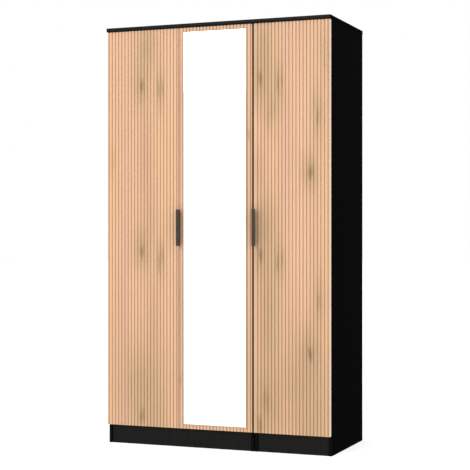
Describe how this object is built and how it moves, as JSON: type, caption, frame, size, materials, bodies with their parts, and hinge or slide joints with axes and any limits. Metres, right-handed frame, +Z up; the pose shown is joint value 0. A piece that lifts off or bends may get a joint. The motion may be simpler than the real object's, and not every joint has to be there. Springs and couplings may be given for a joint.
{
  "type": "wardrobe with doors",
  "caption": "Tall black wardrobe, a double and a single carcass under one top, with fluted oak-look hinged doors, a long mirror, edge handles, hat shelves and hanging rails.",
  "frame": {"origin": "middle of the footprint of the whole object's box, on the floor", "axes": "+X to the right seen from the front, +Y from the doors to the back, +Z up"},
  "size_m": [1.11, 0.5476, 1.97],
  "materials": {
    "black_board": "matt black foil on particleboard",
    "back_board": "black-faced thin hardboard",
    "oak_front": "satin light oak foil with milled vertical flutes",
    "mirror": "silvered glass with a polished edge",
    "mirror_adhesive": "matt grey foam adhesive",
    "handle_metal": "satin dark brown-grey lacquer",
    "hinge_steel": "nickel-plated pressed steel",
    "rail_chrome": "chromed steel tube",
    "socket_plastic": "matt black moulded plastic"
  },
  "bodies": {
    "carcass": {"double_left_side": "black_board", "double_right_side": "black_board", "double_floor": "black_board", "double_plinth": "black_board", "double_hat_shelf": "black_board", "double_back": "back_board", "double_rail_socket_left": "socket_plastic", "double_rail_socket_right": "socket_plastic", "double_hanging_rail": "rail_chrome", "single_left_side": "black_board", "single_right_side": "black_board", "single_floor": "black_board", "single_plinth": "black_board", "single_hat_shelf": "black_board", "single_back": "back_board", "single_rail_socket_left": "socket_plastic", "single_rail_socket_right": "socket_plastic", "single_hanging_rail": "rail_chrome", "joining_bolt_1": "hinge_steel", "joining_bolt_2": "hinge_steel", "top_panel": "black_board", "left_door_hinge_arm_1": "hinge_steel", "left_door_hinge_plate_1": "hinge_steel", "left_door_hinge_arm_2": "hinge_steel", "left_door_hinge_plate_2": "hinge_steel", "left_door_hinge_arm_3": "hinge_steel", "left_door_hinge_plate_3": "hinge_steel", "middle_door_hinge_arm_1": "hinge_steel", "middle_door_hinge_plate_1": "hinge_steel", "middle_door_hinge_arm_2": "hinge_steel", "middle_door_hinge_plate_2": "hinge_steel", "middle_door_hinge_arm_3": "hinge_steel", "middle_door_hinge_plate_3": "hinge_steel", "right_door_hinge_arm_1": "hinge_steel", "right_door_hinge_plate_1": "hinge_steel", "right_door_hinge_arm_2": "hinge_steel", "right_door_hinge_plate_2": "hinge_steel", "right_door_hinge_arm_3": "hinge_steel", "right_door_hinge_plate_3": "hinge_steel"},
    "left_door": {"left_door": "oak_front", "left_door_hinge_cup_1": "hinge_steel", "left_door_hinge_cup_2": "hinge_steel", "left_door_hinge_cup_3": "hinge_steel"},
    "middle_door": {"middle_door": "oak_front", "middle_door_hinge_cup_1": "hinge_steel", "middle_door_hinge_cup_2": "hinge_steel", "middle_door_hinge_cup_3": "hinge_steel", "mirror_adhesive": "mirror_adhesive", "mirror_glass": "mirror", "middle_handle": "handle_metal", "middle_handle_screw_1": "hinge_steel", "middle_handle_screw_2": "hinge_steel"},
    "right_door": {"right_door": "oak_front", "right_door_hinge_cup_1": "hinge_steel", "right_door_hinge_cup_2": "hinge_steel", "right_door_hinge_cup_3": "hinge_steel", "right_handle": "handle_metal", "right_handle_screw_1": "hinge_steel", "right_handle_screw_2": "hinge_steel"}
  },
  "joints": [
    {"name": "left_door_swing", "type": "hinge", "parent": "carcass", "child": "left_door", "pos_m": [-0.545, -0.23325, 1.02], "axis": [0, 0, -1], "range_deg": [0, 95]},
    {"name": "middle_door_swing", "type": "hinge", "parent": "carcass", "child": "middle_door", "pos_m": [0.1735, -0.23325, 1.02], "axis": [0, 0, 1], "range_deg": [0, 90]},
    {"name": "right_door_swing", "type": "hinge", "parent": "carcass", "child": "right_door", "pos_m": [0.545, -0.23325, 1.02], "axis": [0, 0, 1], "range_deg": [0, 95]}
  ]
}
